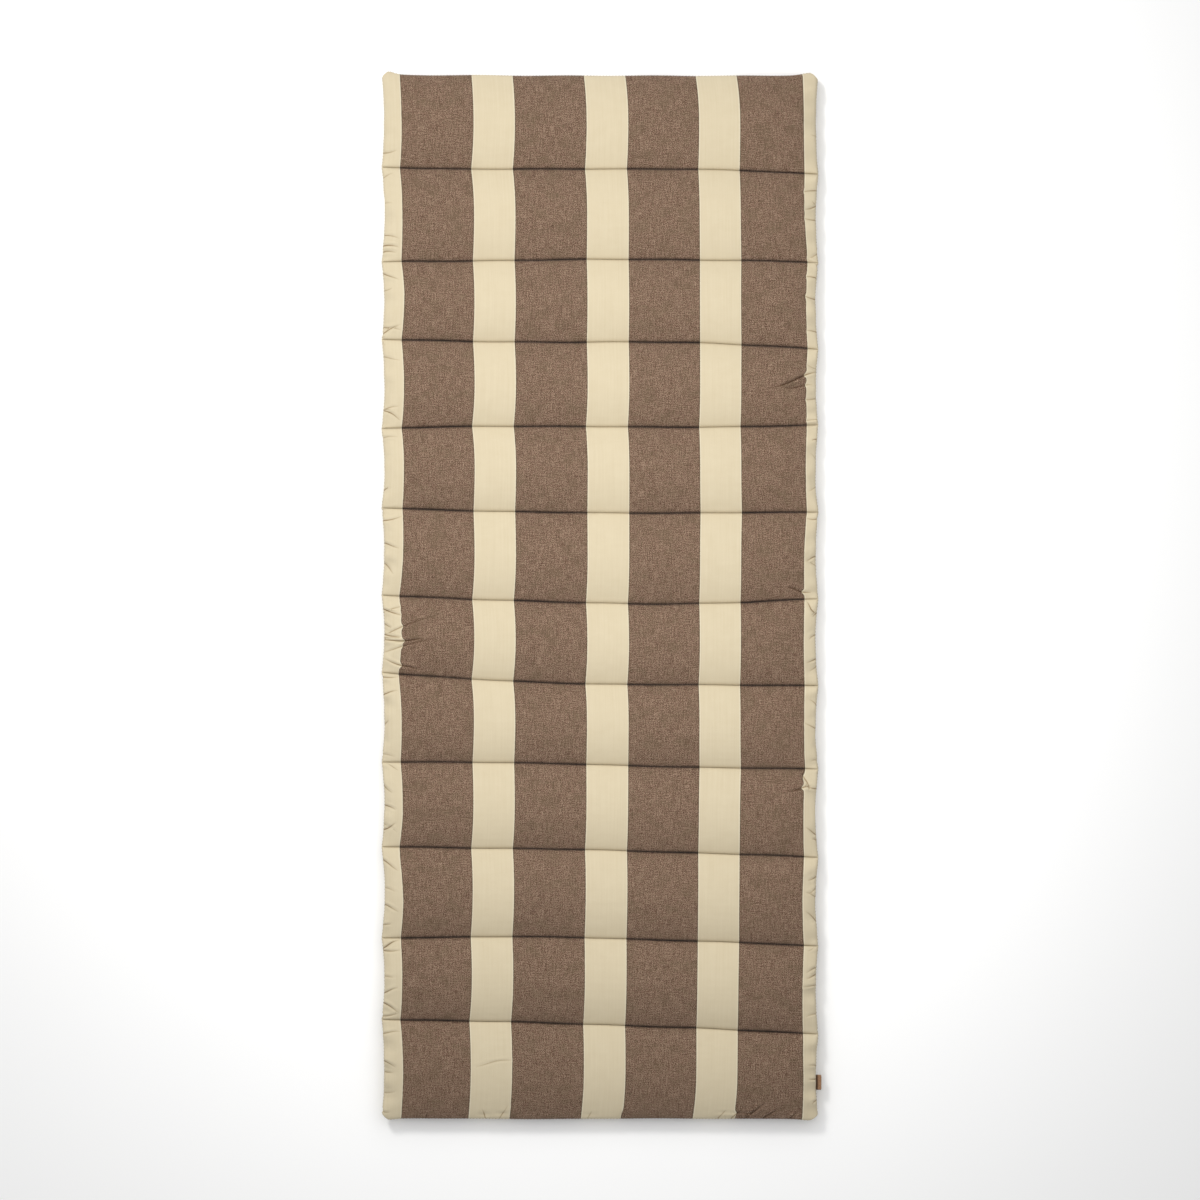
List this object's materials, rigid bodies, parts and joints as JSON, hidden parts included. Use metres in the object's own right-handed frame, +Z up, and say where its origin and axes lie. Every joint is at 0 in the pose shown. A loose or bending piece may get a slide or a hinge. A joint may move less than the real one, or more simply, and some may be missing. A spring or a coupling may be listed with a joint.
{
  "type": "futon mattress",
  "caption": "Thin striped cotton futon mattress, quilted across into padded channels that fold up and roll at the sewn rows; knife edge all round with a blank side tag.",
  "frame": {"origin": "middle of the mattress's width and length, on the floor it lies on", "axes": "+Z up through the thickness, +Y along the length to the head end, +X across the width to the edge that holds the tag"},
  "size_m": [0.759, 1.8, 0.048],
  "materials": {
    "striped_cotton": "matte plain-woven cotton in wide cream and mottled brown stripes",
    "quilting_thread": "dark brown twisted cotton thread",
    "fibre_fill": "white carded fibre, matte",
    "tag_tape": "brown woven tape, matte, left blank"
  },
  "bodies": {
    "channel_01": {"top_panel_01": "striped_cotton", "bottom_panel_01": "striped_cotton", "fibre_fill_01": "fibre_fill", "edge_seam_01": "quilting_thread"},
    "channel_02": {"top_panel_02": "striped_cotton", "bottom_panel_02": "striped_cotton", "fibre_fill_02": "fibre_fill", "edge_seam_02": "quilting_thread", "quilting_seam_01": "quilting_thread"},
    "channel_03": {"top_panel_03": "striped_cotton", "bottom_panel_03": "striped_cotton", "fibre_fill_03": "fibre_fill", "edge_seam_03": "quilting_thread", "quilting_seam_02": "quilting_thread"},
    "channel_04": {"top_panel_04": "striped_cotton", "bottom_panel_04": "striped_cotton", "fibre_fill_04": "fibre_fill", "edge_seam_04": "quilting_thread", "quilting_seam_03": "quilting_thread"},
    "channel_05": {"top_panel_05": "striped_cotton", "bottom_panel_05": "striped_cotton", "fibre_fill_05": "fibre_fill", "edge_seam_05": "quilting_thread", "quilting_seam_04": "quilting_thread"},
    "channel_06": {"top_panel_06": "striped_cotton", "bottom_panel_06": "striped_cotton", "fibre_fill_06": "fibre_fill", "edge_seam_06": "quilting_thread", "quilting_seam_05": "quilting_thread"},
    "channel_07": {"top_panel_07": "striped_cotton", "bottom_panel_07": "striped_cotton", "fibre_fill_07": "fibre_fill", "edge_seam_07": "quilting_thread", "quilting_seam_06": "quilting_thread"},
    "channel_08": {"top_panel_08": "striped_cotton", "bottom_panel_08": "striped_cotton", "fibre_fill_08": "fibre_fill", "edge_seam_08": "quilting_thread", "quilting_seam_07": "quilting_thread"},
    "channel_09": {"top_panel_09": "striped_cotton", "bottom_panel_09": "striped_cotton", "fibre_fill_09": "fibre_fill", "edge_seam_09": "quilting_thread", "quilting_seam_08": "quilting_thread"},
    "channel_10": {"top_panel_10": "striped_cotton", "bottom_panel_10": "striped_cotton", "fibre_fill_10": "fibre_fill", "edge_seam_10": "quilting_thread", "quilting_seam_09": "quilting_thread"},
    "channel_11": {"top_panel_11": "striped_cotton", "bottom_panel_11": "striped_cotton", "fibre_fill_11": "fibre_fill", "edge_seam_11": "quilting_thread", "quilting_seam_10": "quilting_thread"},
    "channel_12": {"top_panel_12": "striped_cotton", "bottom_panel_12": "striped_cotton", "fibre_fill_12": "fibre_fill", "edge_seam_12": "quilting_thread", "quilting_seam_11": "quilting_thread", "side_tag": "tag_tape"}
  },
  "joints": [
    {"name": "quilting_fold_01", "type": "hinge", "parent": "channel_02", "child": "channel_01", "pos_m": [0, 0.738, 0.022], "axis": [0.9999, -0.0152, 0], "range_deg": [0, 87]},
    {"name": "quilting_fold_02", "type": "hinge", "parent": "channel_03", "child": "channel_02", "pos_m": [0, 0.581, 0.022], "axis": [0.9999, -0.0152, 0], "range_deg": [0, 72]},
    {"name": "quilting_fold_03", "type": "hinge", "parent": "channel_04", "child": "channel_03", "pos_m": [0, 0.439, 0.022], "axis": [0.9999, -0.0152, 0], "range_deg": [0, 65]},
    {"name": "quilting_fold_04", "type": "hinge", "parent": "channel_05", "child": "channel_04", "pos_m": [0, 0.294, 0.022], "axis": [0.9999, -0.0152, 0], "range_deg": [0, 60]},
    {"name": "quilting_fold_05", "type": "hinge", "parent": "channel_06", "child": "channel_05", "pos_m": [0, 0.147, 0.022], "axis": [0.9999, -0.0152, 0], "range_deg": [0, 55]},
    {"name": "quilting_fold_06", "type": "hinge", "parent": "channel_07", "child": "channel_06", "pos_m": [0, -0.007, 0.022], "axis": [0.9999, -0.0152, 0], "range_deg": [0, 50]},
    {"name": "quilting_fold_07", "type": "hinge", "parent": "channel_08", "child": "channel_07", "pos_m": [0, -0.147, 0.022], "axis": [0.9999, -0.0152, 0], "range_deg": [0, 48]},
    {"name": "quilting_fold_08", "type": "hinge", "parent": "channel_09", "child": "channel_08", "pos_m": [0, -0.29, 0.022], "axis": [0.9999, -0.0152, 0], "range_deg": [0, 45]},
    {"name": "quilting_fold_09", "type": "hinge", "parent": "channel_10", "child": "channel_09", "pos_m": [0, -0.438, 0.022], "axis": [0.9999, -0.0152, 0], "range_deg": [0, 43]},
    {"name": "quilting_fold_10", "type": "hinge", "parent": "channel_11", "child": "channel_10", "pos_m": [0, -0.591, 0.022], "axis": [0.9999, -0.0152, 0], "range_deg": [0, 40]},
    {"name": "quilting_fold_11", "type": "hinge", "parent": "channel_12", "child": "channel_11", "pos_m": [0, -0.739, 0.022], "axis": [0.9999, -0.0152, 0], "range_deg": [0, 38]}
  ]
}
